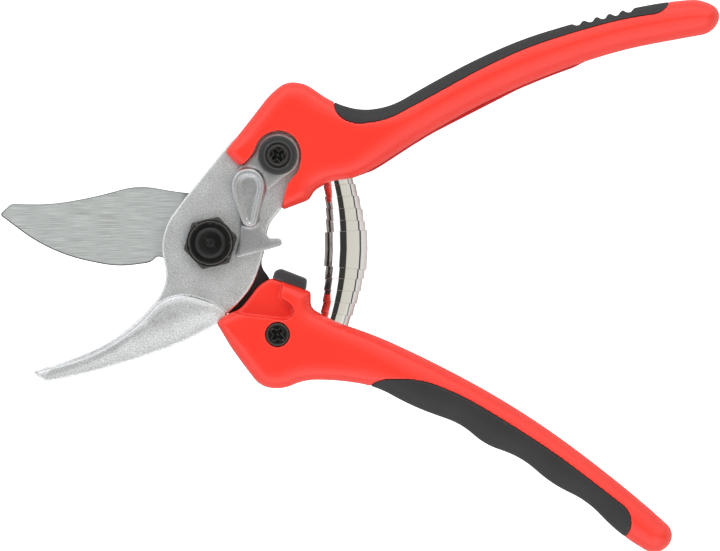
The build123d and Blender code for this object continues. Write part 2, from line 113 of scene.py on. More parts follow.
world = bpy.data.worlds.new("room")
scene.world = world
world.use_nodes = True
nodes, links = world.node_tree.nodes, world.node_tree.links
nodes.clear()
ray = nodes.new("ShaderNodeLightPath")
where = nodes.new("ShaderNodeTexCoord")
split = nodes.new("ShaderNodeSeparateXYZ")
links.new(where.outputs["Generated"], split.inputs[0])
lean = nodes.new("ShaderNodeMath")
lean.operation = "ARCTAN2"
links.new(split.outputs["X"], lean.inputs[0])
links.new(split.outputs["Z"], lean.inputs[1])
spread = nodes.new("ShaderNodeMapRange")
spread.inputs["From Min"].default_value = -pi
spread.inputs["From Max"].default_value = pi
links.new(lean.outputs[0], spread.inputs["Value"])
walls = nodes.new("ShaderNodeValToRGB")
walls.color_ramp.interpolation = "LINEAR"
ROOM_STRENGTH = 0.94
END_SPAN = (0.18, 0.95)
END_TONE = (1.9, 1.9, 1.92)
WHITE_STRENGTH = 1.5
# Angle from straight up, negative towards -X, with the light that comes from there.
WALLS = [
    (-180, (0.7, 0.7, 0.7)), (-92, (0.16, 0.12, 0.11)), (-78, (0.16, 0.12, 0.11)),
    (-75, (1.35, 1.35, 1.34)), (-35, (1.35, 1.35, 1.34)), (-32, (0.045, 0.045, 0.04)),
    (2, (0.045, 0.045, 0.04)), (5, (0.74, 0.72, 0.65)), (76, (0.78, 0.76, 0.70)),
    (78, (0.08, 0.075, 0.07)), (87, (0.08, 0.075, 0.07)), (90, (0.7, 0.7, 0.7)),
]
ramp = walls.color_ramp.elements
ramp.remove(ramp[1])
ramp[0].position = 0
ramp[0].color = (*WALLS[0][1], 1)
for angle, tone in WALLS[1:]:
    ramp.new((angle + 180) / 360).color = (*tone, 1)
links.new(spread.outputs[0], walls.inputs["Fac"])
room = nodes.new("ShaderNodeBackground")
room.inputs["Strength"].default_value = ROOM_STRENGTH
reach_y = nodes.new("ShaderNodeMath")
reach_y.operation = "ABSOLUTE"
links.new(split.outputs["Y"], reach_y.inputs[0])
bar_end = nodes.new("ShaderNodeMapRange")
bar_end.inputs["From Min"].default_value = END_SPAN[0]
bar_end.inputs["From Max"].default_value = END_SPAN[1]
links.new(reach_y.outputs[0], bar_end.inputs["Value"])
closed = nodes.new("ShaderNodeMix")
closed.data_type = "RGBA"
closed.inputs[7].default_value = (*END_TONE, 1)
links.new(bar_end.outputs[0], closed.inputs[0])
links.new(walls.outputs["Color"], closed.inputs[6])
links.new(closed.outputs[2], room.inputs["Color"])
seen = nodes.new("ShaderNodeBackground")
seen.inputs["Color"].default_value = (1, 1, 1, 1)
seen.inputs["Strength"].default_value = WHITE_STRENGTH
choose = nodes.new("ShaderNodeMixShader")
links.new(ray.outputs["Is Camera Ray"], choose.inputs["Fac"])
links.new(room.outputs[0], choose.inputs[1])
links.new(seen.outputs[0], choose.inputs[2])
out = nodes.new("ShaderNodeOutputWorld")
links.new(choose.outputs[0], out.inputs["Surface"])


def new_material(name, base, roughness, metallic=0.0):
    """A material with one Principled shader. Gives back the material, its nodes, links and shader."""
    material = bpy.data.materials.new(name)
    material.use_nodes = True
    tree = material.node_tree
    shader = tree.nodes["Principled BSDF"]
    shader.inputs["Base Color"].default_value = (*base, 1)
    shader.inputs["Roughness"].default_value = roughness
    shader.inputs["Metallic"].default_value = metallic
    return material, tree.nodes, tree.links, shader


table_finish, n, l, shader = new_material("table_paper", (0.62, 0.62, 0.62), 0.9)
shader.inputs["Specular IOR Level"].default_value = 0.0
ray = n.new("ShaderNodeLightPath")
bright = n.new("ShaderNodeEmission")
bright.inputs["Strength"].default_value = WHITE_STRENGTH
choose = n.new("ShaderNodeMixShader")
l.new(ray.outputs["Is Camera Ray"], choose.inputs["Fac"])
l.new(shader.outputs[0], choose.inputs[1])
l.new(bright.outputs[0], choose.inputs[2])
l.new(choose.outputs[0], n["Material Output"].inputs["Surface"])
mesh = bpy.data.meshes.new("table")
reach = 6.0
table_z = -0.15 * MM
mesh.from_pydata(
    [(-reach, -reach, table_z), (reach, -reach, table_z), (reach, reach, table_z), (-reach, reach, table_z)],
    [],
    [(0, 1, 2, 3)],
)
table = bpy.data.objects.new("table", mesh)
mesh.materials.append(table_finish)
scene.collection.objects.link(table)

# ==============================================================================
# Counter-blade: one aluminium casting with a bead-blasted skin. Its flat head carries
# the pivot, and its hook stands higher, with a thin flange on the cutting side.
# ==============================================================================


def group_with(name, inputs, outputs):
    """An empty shader node group. Gives back the group, its input node and its output node."""
    group = bpy.data.node_groups.new(name, "ShaderNodeTree")
    for label, kind, value in inputs:
        socket = group.interface.new_socket(label, in_out="INPUT", socket_type=kind)
        socket.default_value = value
    for label, kind in outputs:
        group.interface.new_socket(label, in_out="OUTPUT", socket_type=kind)
    return group, group.nodes.new("NodeGroupInput"), group.nodes.new("NodeGroupOutput")


def make_grain():
    """Fine random grain in two sizes: a height for bump and a mask for colour and gloss."""
    group, enter, leave = group_with(
        "grain",
        [("Size", "NodeSocketFloat", 0.4), ("Coarseness", "NodeSocketFloat", 4.0)],
        [("Height", "NodeSocketFloat"), ("Mask", "NodeSocketFloat"), ("Cloud", "NodeSocketFloat")],
    )
    add, link = group.nodes.new, group.links.new
    place = add("ShaderNodeTexCoord")
    pitch = add("ShaderNodeMath")
    pitch.operation = "DIVIDE"
    pitch.inputs[0].default_value = 1000.0
    link(enter.outputs["Size"], pitch.inputs[1])
    fine = add("ShaderNodeTexNoise")
    fine.inputs["Detail"].default_value = 3.0
    link(place.outputs["Object"], fine.inputs["Vector"])
    link(pitch.outputs[0], fine.inputs["Scale"])
    wide = add("ShaderNodeMath")
    wide.operation = "DIVIDE"
    link(pitch.outputs[0], wide.inputs[0])
    link(enter.outputs["Coarseness"], wide.inputs[1])
    cloud = add("ShaderNodeTexNoise")
    cloud.inputs["Detail"].default_value = 4.0
    link(place.outputs["Object"], cloud.inputs["Vector"])
    link(wide.outputs[0], cloud.inputs["Scale"])
    mask = add("ShaderNodeMapRange")
    mask.inputs["From Min"].default_value = 0.34
    mask.inputs["From Max"].default_value = 0.66
    link(fine.outputs["Fac"], mask.inputs["Value"])
    link(fine.outputs["Fac"], leave.inputs["Height"])
    link(mask.outputs[0], leave.inputs["Mask"])
    link(cloud.outputs["Fac"], leave.inputs["Cloud"])
    return group


def make_edges():
    """Where a surface turns outward or inward: a mask for worn edges and one for inward corners, which
    finishes make darker.
    """
    group, enter, leave = group_with(
        "edges",
        [("Spread", "NodeSocketFloat", 0.06)],
        [("Worn", "NodeSocketFloat"), ("Corner", "NodeSocketFloat")],
    )
    add, link = group.nodes.new, group.links.new
    shape = add("ShaderNodeNewGeometry")
    for label, start, sign in (("Worn", 0.5, 1), ("Corner", 0.5, -1)):
        far = add("ShaderNodeMath")
        far.operation = "MULTIPLY_ADD"
        far.inputs[1].default_value = sign
        far.inputs[2].default_value = start
        link(enter.outputs["Spread"], far.inputs[0])
        mask = add("ShaderNodeMapRange")
        mask.inputs["From Min"].default_value = start
        link(shape.outputs["Pointiness"], mask.inputs["Value"])
        link(far.outputs[0], mask.inputs["From Max"])
        link(mask.outputs[0], leave.inputs[label])
    return group


GRAIN = make_grain()
EDGES = make_edges()


def use_group(tree_nodes, group, **values):
    """Places a node group in a material, with its own values."""
    node = tree_nodes.new("ShaderNodeGroup")
    node.node_tree = group
    for label, value in values.items():
        node.inputs[label].default_value = value
    return node


def vary(tree_nodes, tree_links, mask, low, high, target):
    """Runs a mask from 0 to 1 into a number on the shader, from low to high."""
    span = tree_nodes.new("ShaderNodeMapRange")
    span.inputs["To Min"].default_value = low
    span.inputs["To Max"].default_value = high
    tree_links.new(mask, span.inputs["Value"])
    tree_links.new(span.outputs[0], target)


def tint(tree_nodes, tree_links, mask, low, high, target=None):
    """Mixes two colours by a mask. Each may be a colour or another node's output."""
    mix = tree_nodes.new("ShaderNodeMix")
    mix.data_type = "RGBA"
    for label, value in ((6, low), (7, high)):
        if isinstance(value, tuple):
            mix.inputs[label].default_value = (*value, 1)
        else:
            tree_links.new(value, mix.inputs[label])
    tree_links.new(mask, mix.inputs[0])
    if target is not None:
        tree_links.new(mix.outputs[2], target)
    return mix.outputs[2]


def raise_bump(tree_nodes, tree_links, height, depth_mm, shader, strength=1.0):
    """Bump of a real depth in millimetres."""
    bump = tree_nodes.new("ShaderNodeBump")
    bump.inputs["Distance"].default_value = depth_mm * MM
    bump.inputs["Strength"].default_value = strength
    tree_links.new(height, bump.inputs["Height"])
    tree_links.new(bump.outputs[0], shader.inputs["Normal"])


def cast_aluminium(name, dark, light, roughness):
    """Bead-blasted cast aluminium: fine light and dark grain, brighter where an edge is rubbed."""
    material, n, l, shader = new_material(name, light, roughness, 1.0)
    grain = use_group(n, GRAIN, Size=0.36, Coarseness=14.0)
    edges = use_group(n, EDGES, Spread=0.10)
    speckle = tint(n, l, grain.outputs["Mask"], dark, light)
    patches = tint(n, l, grain.outputs["Cloud"], (0.86, 0.86, 0.86), (1, 1, 1))
    blasted = n.new("ShaderNodeMix")
    blasted.data_type = "RGBA"
    blasted.blend_type = "MULTIPLY"
    blasted.inputs[0].default_value = 1.0
    l.new(speckle, blasted.inputs[6])
    l.new(patches, blasted.inputs[7])
    worn = tint(n, l, edges.outputs["Worn"], blasted.outputs[2], (0.90, 0.91, 0.92))
    tint(n, l, edges.outputs["Corner"], worn, (0.38, 0.38, 0.39), shader.inputs["Base Color"])
    vary(n, l, grain.outputs["Cloud"], roughness - 0.08, roughness + 0.1, shader.inputs["Roughness"])
    raise_bump(n, l, grain.outputs["Height"], 0.07, shader)
    return material


def cad_copy(node, name=None):
    """A new piece with a CAD node's shape, standing for that node on its body."""
    source = frame["nodes"][node]
    piece = bpy.data.objects.new(name or node.replace("_", "-"), source.data.copy())
    piece.data.materials.clear()
    scene.collection.objects.link(piece)
    welded = bmesh.new()
    welded.from_mesh(piece.data)
    bmesh.ops.remove_doubles(welded, verts=welded.verts, dist=0.002 * MM)
    welded.to_mesh(piece.data)
    welded.free()
    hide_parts(node)
    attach(piece, source["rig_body"])
    return piece


def settle(piece):
    """Applies a piece's modifiers and shades it smooth."""
    bpy.context.view_layer.update()
    graph = bpy.context.evaluated_depsgraph_get()
    finished = bpy.data.meshes.new_from_object(piece.evaluated_get(graph))
    piece.modifiers.clear()
    piece.data = finished
    finished.polygons.foreach_set("use_smooth", [True] * len(finished.polygons))


def cast_skin(piece, voxel_mm, rounds):
    """Rebuilds a piece in small even faces and eases every edge, as a casting or moulding has them."""
    even = piece.modifiers.new("even", "REMESH")
    even.mode = "VOXEL"
    even.voxel_size = voxel_mm * MM
    even.adaptivity = 0
    ease = piece.modifiers.new("ease", "SMOOTH")
    ease.factor = 0.5
    ease.iterations = rounds
    settle(piece)


def points_of(piece):
    """The piece's points in millimetres, as an array that can be changed and put back."""
    flat = np.empty(len(piece.data.vertices) * 3)
    piece.data.vertices.foreach_get("co", flat)
    return flat.reshape(-1, 3) / MM


def put_points(piece, points):
    """Puts changed points, in millimetres, back into the piece."""
    piece.data.vertices.foreach_set("co", (points * MM).ravel())
    piece.data.update()


def section(node, height_mm):
    """The outline of a CAD node cut level at a height, as pairs of points in millimetres."""
    cut = bmesh.new()
    cut.from_mesh(frame["nodes"][node].data)
    bmesh.ops.remove_doubles(cut, verts=cut.verts, dist=0.002 * MM)
    found = bmesh.ops.bisect_plane(
        cut,
        geom=cut.verts[:] + cut.edges[:] + cut.faces[:],
        plane_co=(0, 0, height_mm * MM),
        plane_no=(0, 0, 1),
    )
    sides = [e for e in found["geom_cut"] if isinstance(e, bmesh.types.BMEdge)]
    line = np.array([[v.co[:2] for v in e.verts] for e in sides]) / MM
    cut.free()
    return line


def distance_to(line, xy):
    """How far each point is from the nearest of some straight sides, in millimetres."""
    nearest = np.full(len(xy), 1e9)
    for start, end in line:
        along = end - start
        length2 = max(along @ along, 1e-12)
        share = np.clip(((xy - start) @ along) / length2, 0, 1)
        gap = xy - start - share[:, None] * along
        nearest = np.minimum(nearest, (gap * gap).sum(1))
    return np.sqrt(nearest)


def ease_step(value, low, high):
    """0 below low, 1 above high, and a smooth step between."""
    t = np.clip((value - low) / (high - low), 0, 1)
    return t * t * (3 - 2 * t)


def round_edges(piece, width_mm, sharp_deg=35):
    """Rounds a piece's sharp edges a little, as machining and tumbling leave them."""
    tidy = piece.modifiers.new("tidy", "DECIMATE")
    tidy.decimate_type = "DISSOLVE"
    tidy.angle_limit = radians(0.5)
    soft = piece.modifiers.new("soft", "BEVEL")
    soft.width = width_mm * MM
    soft.segments = 2
    soft.limit_method = "ANGLE"
    soft.angle_limit = radians(sharp_deg)
    settle(piece)
    piece.data.set_sharp_from_angle(angle=radians(20))


casting_finish = cast_aluminium("blasted_casting", (0.60, 0.622, 0.635), (0.96, 0.98, 0.995), 0.46)
blade_low, blade_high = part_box("counter_blade")
PLANE_Z = blade_low.z / MM
HOOK_Z = blade_high.z / MM
PLATE_THICK = 5.0
PLATE_Z = PLANE_Z + PLATE_THICK
OUTLINE_Z = PLANE_Z + 2.0
HOOK_FALL, FALL_FROM, FALL_WIDTH = 1.5, -1.0, 8.0
FALL_BELOW = 3.5
HOOK_CROWN, CROWN_WIDTH, CROWN_ABOVE = 0.4, 2.0, 0.2
HOOK_Y = (-15.0, -24.0)
SAME_LINE = 0.6
CAST_ROUNDS = 7

counter = cad_copy("counter_blade")
cast_skin(counter, 0.3, 1)
rim = section("counter_blade", (PLATE_Z + HOOK_Z) / 2)
outer = section("counter_blade", OUTLINE_Z)
shared = distance_to(outer, rim.mean(1)) < SAME_LINE
p = points_of(counter)
back = distance_to(rim[shared], p[:, :2])
inner = distance_to(rim[~shared], p[:, :2])
high = ease_step(p[:, 2], PLATE_Z - FALL_BELOW, HOOK_Z)
on_hook = ease_step(-p[:, 1], -HOOK_Y[0], -HOOK_Y[1])
fall = HOOK_FALL * (1 - ease_step(back, FALL_FROM, FALL_WIDTH)) * high * on_hook
on_rim = ease_step(p[:, 2], PLATE_Z + CROWN_ABOVE, HOOK_Z)
crown_in = HOOK_CROWN * (1 - ease_step(inner, 0.0, CROWN_WIDTH)) * on_rim
p[:, 2] -= fall + crown_in
put_points(counter, p)
ease = counter.modifiers.new("ease", "SMOOTH")
ease.factor = 0.5
ease.iterations = CAST_ROUNDS
settle(counter)
counter.data.materials.append(casting_finish)

# ==============================================================================
# Blade: hardened steel plate, ground lengthways, with a wide bevel on the underside and painted shade
# as dark lines along its edges. It turns on the pivot, and its tang is held in the lower handle.
# ==============================================================================


def make_brushed():
    """Long fine grinding marks along X: a height for bump and a mask for colour and gloss."""
    group, enter, leave = group_with(
        "brushed",
        [("Across", "NodeSocketFloat", 4.0), ("Along", "NodeSocketFloat", 0.08)],
        [("Height", "NodeSocketFloat"), ("Mask", "NodeSocketFloat")],
    )
    add, link = group.nodes.new, group.links.new
    place = add("ShaderNodeTexCoord")
    sway = add("ShaderNodeTexNoise")
    sway.inputs["Scale"].default_value = 25.0
    sway.inputs["Detail"].default_value = 1.0
    link(place.outputs["Object"], sway.inputs["Vector"])
    split = add("ShaderNodeSeparateXYZ")
    link(place.outputs["Object"], split.inputs[0])
    bend = add("ShaderNodeMath")
    bend.operation = "MULTIPLY_ADD"
    bend.inputs[1].default_value = 0.0016
    link(sway.outputs["Fac"], bend.inputs[0])
    link(split.outputs["Y"], bend.inputs[2])
    join = add("ShaderNodeCombineXYZ")
    for axis, size, value in (("X", "Along", split.outputs["X"]), ("Y", "Across", bend.outputs[0])):
        scale = add("ShaderNodeMath")
        scale.operation = "MULTIPLY"
        link(value, scale.inputs[0])
        link(enter.outputs[size], scale.inputs[1])
        link(scale.outputs[0], join.inputs[axis])
    marks = add("ShaderNodeTexNoise")
    marks.inputs["Scale"].default_value = 1000.0
    marks.inputs["Detail"].default_value = 5.0
    marks.inputs["Roughness"].default_value = 0.65
    link(join.outputs[0], marks.inputs["Vector"])
    mask = add("ShaderNodeMapRange")
    mask.inputs["From Min"].default_value = 0.32
    mask.inputs["From Max"].default_value = 0.68
    link(marks.outputs["Fac"], mask.inputs["Value"])
    link(marks.outputs["Fac"], leave.inputs["Height"])
    link(mask.outputs[0], leave.inputs["Mask"])
    return group


BRUSHED = make_brushed()
blade_finish, n, l, shader = new_material("ground_steel", (0.88, 0.9, 0.89), 0.55, 1.0)
marks = use_group(n, BRUSHED, Across=7.0, Along=0.12)
edge = n.new("ShaderNodeAttribute")
edge.attribute_name = "edge"
brushed = tint(n, l, marks.outputs["Mask"], (0.42, 0.445, 0.442), (0.86, 0.90, 0.895))
# Behind the jaws, the blade is painted dark: painted shade for the deep gap between the counter-blade and
# the lower handle, fading in between these two.
SHADE_FROM_X = (-9, -5)
place = n.new("ShaderNodeTexCoord")
split = n.new("ShaderNodeSeparateXYZ")
l.new(place.outputs["Object"], split.inputs[0])
shade_ramp = n.new("ShaderNodeMapRange")
shade_ramp.inputs["From Min"].default_value = SHADE_FROM_X[0] * MM
shade_ramp.inputs["From Max"].default_value = SHADE_FROM_X[1] * MM
l.new(split.outputs["X"], shade_ramp.inputs["Value"])
shaded_steel = tint(n, l, shade_ramp.outputs[0], brushed, (0.07, 0.066, 0.064))
# Painted shade: the edge attribute darkens thin lines along the blade's edges, standing for their shaded
# bevels.
tint(n, l, edge.outputs["Fac"], shaded_steel, (0.10, 0.11, 0.11), shader.inputs["Base Color"])
vary(n, l, marks.outputs["Mask"], 0.50, 0.60, shader.inputs["Roughness"])
raise_bump(n, l, marks.outputs["Height"], 0.012, shader)

NOTCH_X = -17.8
GRIND_WIDTH = 4.6
GRIND_TIP = (-59.0, -50.0)
GRIND_END = -22.0
ON_LINE = 0.02
TOWARDS_BACK = np.array([0.15, 1.0])
LEVEL = 0.99
EDGE_LINE = 0.4
# How dark the painted shade lines are on the cutting edge and on the back.
CUT_SHADE, BACK_SHADE = 2.4, 0.9
BACK_X, BACK_Y = [-62, -58, -46, -20, -10], [9.0, 9.0, 6.0, 4.0, 4.0]

blade = cad_copy("blade")
blade_low, blade_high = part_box("blade")
blade_middle = (blade_low.z + blade_high.z) / 2 / MM
line = section("blade", blade_middle)
middle = line.mean(1)
# The cutting edge is the outline's lower side, from the wire notch to the tip.
cutting = (middle[:, 0] < NOTCH_X) & (middle[:, 1] < np.interp(middle[:, 0], BACK_X, BACK_Y))
cut_line, back_line = line[cutting], line[~cutting]
ground = bmesh.new()
ground.from_mesh(blade.data)
bmesh.ops.dissolve_limit(ground, angle_limit=radians(0.5), verts=ground.verts, edges=ground.edges)
for vert in ground.verts:
    here = np.array(vert.co[:2]) / MM
    if vert.co.z / MM > blade_middle or distance_to(cut_line, here[None])[0] > ON_LINE:
        continue
    nearest = cut_line[np.argmin(np.hypot(*(cut_line.mean(1) - here).T))]
    along = (nearest[1] - nearest[0]) / np.linalg.norm(nearest[1] - nearest[0])
    inward = np.array([-along[1], along[0]])
    inward *= np.sign(inward @ TOWARDS_BACK)
    share = ease_step(here[0], *GRIND_TIP) * (1 - ease_step(here[0], GRIND_END, NOTCH_X))
    vert.co.x += inward[0] * GRIND_WIDTH * share * MM
    vert.co.y += inward[1] * GRIND_WIDTH * share * MM
flat_top = [
    face for face in ground.faces
    if face.normal.z > LEVEL and face.calc_center_median().z / MM > blade_middle
]
bmesh.ops.inset_region(ground, faces=flat_top, thickness=EDGE_LINE * MM, depth=0.0, use_even_offset=True)
ground.to_mesh(blade.data)
ground.free()
blade.data.polygons.foreach_set("use_smooth", [True] * len(blade.data.polygons))
blade.data.set_sharp_from_angle(angle=radians(20))
p = points_of(blade)[:, :2]
# Painted shade along the edges: strongest on the cutting edge, fainter on the back.
dark = blade.data.attributes.new("edge", "FLOAT", "POINT")
on_cut = distance_to(cut_line, p) < EDGE_LINE / 2
on_back = distance_to(back_line, p) < EDGE_LINE / 2
edge_shades = np.where(on_cut, CUT_SHADE, np.where(on_back, BACK_SHADE, 0.0))
dark.data.foreach_set("value", edge_shades.astype(np.float32))
blade.data.materials.append(blade_finish)

# ==============================================================================
# Handles: red moulded shells with crowned sides, closed round the counter-blade's tongue
# and the blade's tang. A charcoal soft grip is moulded onto the outer side of each.
# ==============================================================================


def moulded(name, dark, light, roughness, grain_mm, depth_mm, edge_tone=None):
    """Moulded plastic or rubber with its tool texture, slightly clouded."""
    material, n, l, shader = new_material(name, light, roughness)
    grain = use_group(n, GRAIN, Size=grain_mm, Coarseness=40.0)
    edges = use_group(n, EDGES, Spread=0.08)
    body = tint(n, l, grain.outputs["Cloud"], dark, light)
    tint(n, l, edges.outputs["Worn"], body, edge_tone or light, shader.inputs["Base Color"])
    vary(n, l, grain.outputs["Mask"], roughness - 0.04, roughness + 0.06, shader.inputs["Roughness"])
    raise_bump(n, l, grain.outputs["Height"], depth_mm, shader)
    return material, shader


red_finish, shader = moulded(
    "red_shell", (0.78, 0.026, 0.014), (0.83, 0.035, 0.020), 0.34, 0.22, 0.012, (0.85, 0.05, 0.034)
)
shader.inputs["Specular IOR Level"].default_value = 0.5
grip_finish, shader = moulded(
    "grip_rubber", (0.017, 0.017, 0.018), (0.028, 0.027, 0.028), 0.60, 0.3, 0.03, (0.032, 0.032, 0.033)
)
shader.inputs["Specular IOR Level"].default_value = 0.35

MID_Z = 9.0
HEAD_END = 36.0
GRIP_START = 60.0
HEAD_RING = (24.0, 34.0)
# Width of the rounded band and height left at the outline: near the pivot, then what the
# head and the grip each change.
SIDE_WIDTH = (1.5, 4.3, 1.4)
SIDE_HEIGHT = (0.90, 0.22, 0.24)
SIDE_BEND = 0.62
SECTION_Z = 3.4
JOINT_GAP = 0.06
NUT_CLEAR, GROOVE_CLEAR = 5.0, 2.0
# The lower handle's front corner is drawn out towards the hook.
HEEL = np.array((3.0, -23.2))
HEEL_PULL = np.array((-0.45, 1.5))
HEEL_REACH = (1.0, 8.0)
GROOVE_LINE = np.array([[(105.0, 64.3), (119.8, 68.0)]])
GROOVE_CHORD = np.array([[(102.9, 62.9), (122.0, 67.9)]])


def whole_outline(shell, grip, nut):
    """The outer outline of a handle with its grip: their two sections without the joint between them."""
    shell_line, grip_line = section(shell, SECTION_Z), section(grip, SECTION_Z)
    kept = []
    for line, other in ((shell_line, grip_line), (grip_line, shell_line)):
        middle = line.mean(1)
        kept.append(line[distance_to(other, middle) > JOINT_GAP])
    low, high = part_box(nut)
    centre = np.array([(low.x + high.x) / 2, (low.y + high.y) / 2]) / MM
    outline = np.concatenate(kept)
    middle = outline.mean(1)
    off_nut = np.hypot(*(middle - centre).T) > NUT_CLEAR
    return outline[off_nut & (distance_to(GROOVE_LINE, middle) > GROOVE_CLEAR)]


def crown(piece, outline):
    """Draws a handle's faces in towards its middle plane near the outline, more so along the grip."""
    p = points_of(piece)
    d = distance_to(outline, p[:, :2])
    along = ease_step(p[:, 0], HEAD_END, GRIP_START)
    head = ease_step(np.hypot(p[:, 0], p[:, 1]), *HEAD_RING)
    width = SIDE_WIDTH[0] + SIDE_WIDTH[1] * head + SIDE_WIDTH[2] * along
    side = SIDE_HEIGHT[0] - SIDE_HEIGHT[1] * head - SIDE_HEIGHT[2] * along
    t = np.clip(d / width, 0, 1)
    scale = side + (1 - side) * (1 - (1 - t) ** 2) ** SIDE_BEND
    p[:, 2] = MID_Z + (p[:, 2] - MID_Z) * scale
    put_points(piece, p)


for side, nut in (("upper", "catch_nut"), ("lower", "blade_nut")):
    outline = whole_outline(f"{side}_handle", f"{side}_grip", nut)
    if side == "upper":
        outline = np.concatenate([outline, GROOVE_CHORD])
    for kind, finish, slot in (("handle", red_finish, "red_shell"), ("grip", grip_finish, "grip_rubber")):
        piece = cad_copy(f"{side}_{kind}")
        cast_skin(piece, 0.4, 3)
        crown(piece, outline)
        if side == "lower":
            p = points_of(piece)
            from_heel = np.hypot(*(p[:, :2] - HEEL).T)
            p[:, :2] += HEEL_PULL * (1 - ease_step(from_heel, *HEEL_REACH))[:, None]
            put_points(piece, p)
        piece.data.materials.append(finish)

# ==============================================================================
# Liner: the edge of the upper handle's lower half-shell, in the shell's red painted darker as shade
# along it. It stands out a little along the handle's inner side and follows its outline.
# ==============================================================================
LINER_START, LINER_END = np.array((43.0, 19.3)), np.array((107.5, 52.4))
LINER_OUT, LINER_IN = 0.5, 1.2
LINER_Z = (2.6, 8.3)
LINER_EASE = 0.2
LINER_FADE = (5, 4)
LINER_STEPS = 90
LINER_SIDES = 5
# A side of the outline is the inner one when its cross product with the run is below this.
INNER_CROSS = 150
OVERRUN, INNER_BAND = 3, 6
# Painted shade: the liner's red is darker than the shell's, standing for the shade along it.
liner_shaded_red, shader = moulded("red_shell_painted_shade", (0.42, 0.008, 0.010), (0.55, 0.012, 0.014), 0.5, 0.22, 0.012)

line = section("upper_handle", MID_Z)
run = LINER_END - LINER_START
from_start = line.mean(1) - LINER_START
inner_side = line[run[0] * from_start[:, 1] - run[1] * from_start[:, 0] < INNER_CROSS]
spots = inner_side.reshape(-1, 2)
length = np.linalg.norm(run)
along = run / length
left = np.array((-along[1], along[0]))
travel, off = (spots - LINER_START) @ along, (spots - LINER_START) @ left
keep = (travel > -OVERRUN) & (travel < length + OVERRUN) & (off < INNER_BAND)
order = np.argsort(travel[keep])
travel, off = travel[keep][order], off[keep][order]
verts, faces = [], []
for i in range(LINER_STEPS + 1):
    s = length * i / LINER_STEPS
    edge_off = np.interp(s, travel, off)
    fade_in, fade_out = ease_step(s, 0, LINER_FADE[0]), ease_step(s, length - LINER_FADE[1], length)
    proud = LINER_OUT * float(fade_in * (1 - fade_out))
    for depth, height in (
        (-LINER_IN, LINER_Z[0]), (proud, LINER_Z[0]), (proud, LINER_Z[1] - LINER_EASE),
        (proud - LINER_EASE, LINER_Z[1]), (-LINER_IN, LINER_Z[1]),
    ):
        spot = LINER_START + along * s + left * (edge_off - depth)
        verts.append((spot[0] * MM, spot[1] * MM, height * MM))
for i in range(LINER_STEPS):
    here, there = LINER_SIDES * i, LINER_SIDES * (i + 1)
    for j in range(LINER_SIDES):
        k = (j + 1) % LINER_SIDES
        faces.append((here + j, here + k, there + k, there + j))
faces.append(tuple(reversed(range(LINER_SIDES))))
faces.append(tuple(LINER_SIDES * LINER_STEPS + j for j in range(LINER_SIDES)))
mesh = bpy.data.meshes.new("upper-liner")
mesh.from_pydata(verts, [], faces)
mesh.materials.append(liner_shaded_red)
liner = bpy.data.objects.new("upper-liner", mesh)
scene.collection.objects.link(liner)
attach(liner, frame["nodes"]["upper_handle"]["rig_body"])

# ==============================================================================
# Bumper: a block of dark rubber pressed into the lower handle's front edge. It meets the
# upper handle when the shears close.
# ==============================================================================
rubber_finish, shader = moulded(
    "bumper_rubber", (0.022, 0.022, 0.025), (0.04, 0.04, 0.044), 0.5, 0.3, 0.02, (0.16, 0.16, 0.17)
)
piece = cad_copy("bumper")
cast_skin(piece, 0.2, 3)
piece.data.materials.append(rubber_finish)

# ==============================================================================
# Safety catch: a cast aluminium lever with a drop-shaped thumb button, turning on a
# stepped black bush that a cross-head screw holds to the counter-blade.
# ==============================================================================
catch_finish = cast_aluminium("blasted_lever", (0.40, 0.41, 0.42), (0.60, 0.61, 0.62), 0.45)
piece = cad_copy("catch_lever")
cast_skin(piece, 0.2, 5)
piece.data.materials.append(catch_finish)

LEVER_THICK = 2.0
BUTTON_ROUNDS = 110
BUTTON_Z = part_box("catch_lever")[0].z / MM + LEVER_THICK
rubbed = piece.vertex_groups.new(name="button")
high = [i for i, point in enumerate(points_of(piece)) if point[2] > BUTTON_Z]
rubbed.add(high, 1.0, "REPLACE")
ease = piece.modifiers.new("button", "SMOOTH")
ease.factor = 0.5
ease.iterations = BUTTON_ROUNDS
ease.vertex_group = "button"
settle(piece)

bush_finish, shader = moulded(
    "black_polymer", (0.018, 0.018, 0.019), (0.030, 0.030, 0.031), 0.40, 0.25, 0.008, (0.08, 0.08, 0.08)
)
shader.inputs["Specular IOR Level"].default_value = 0.35
HEX_TURN = 13.0


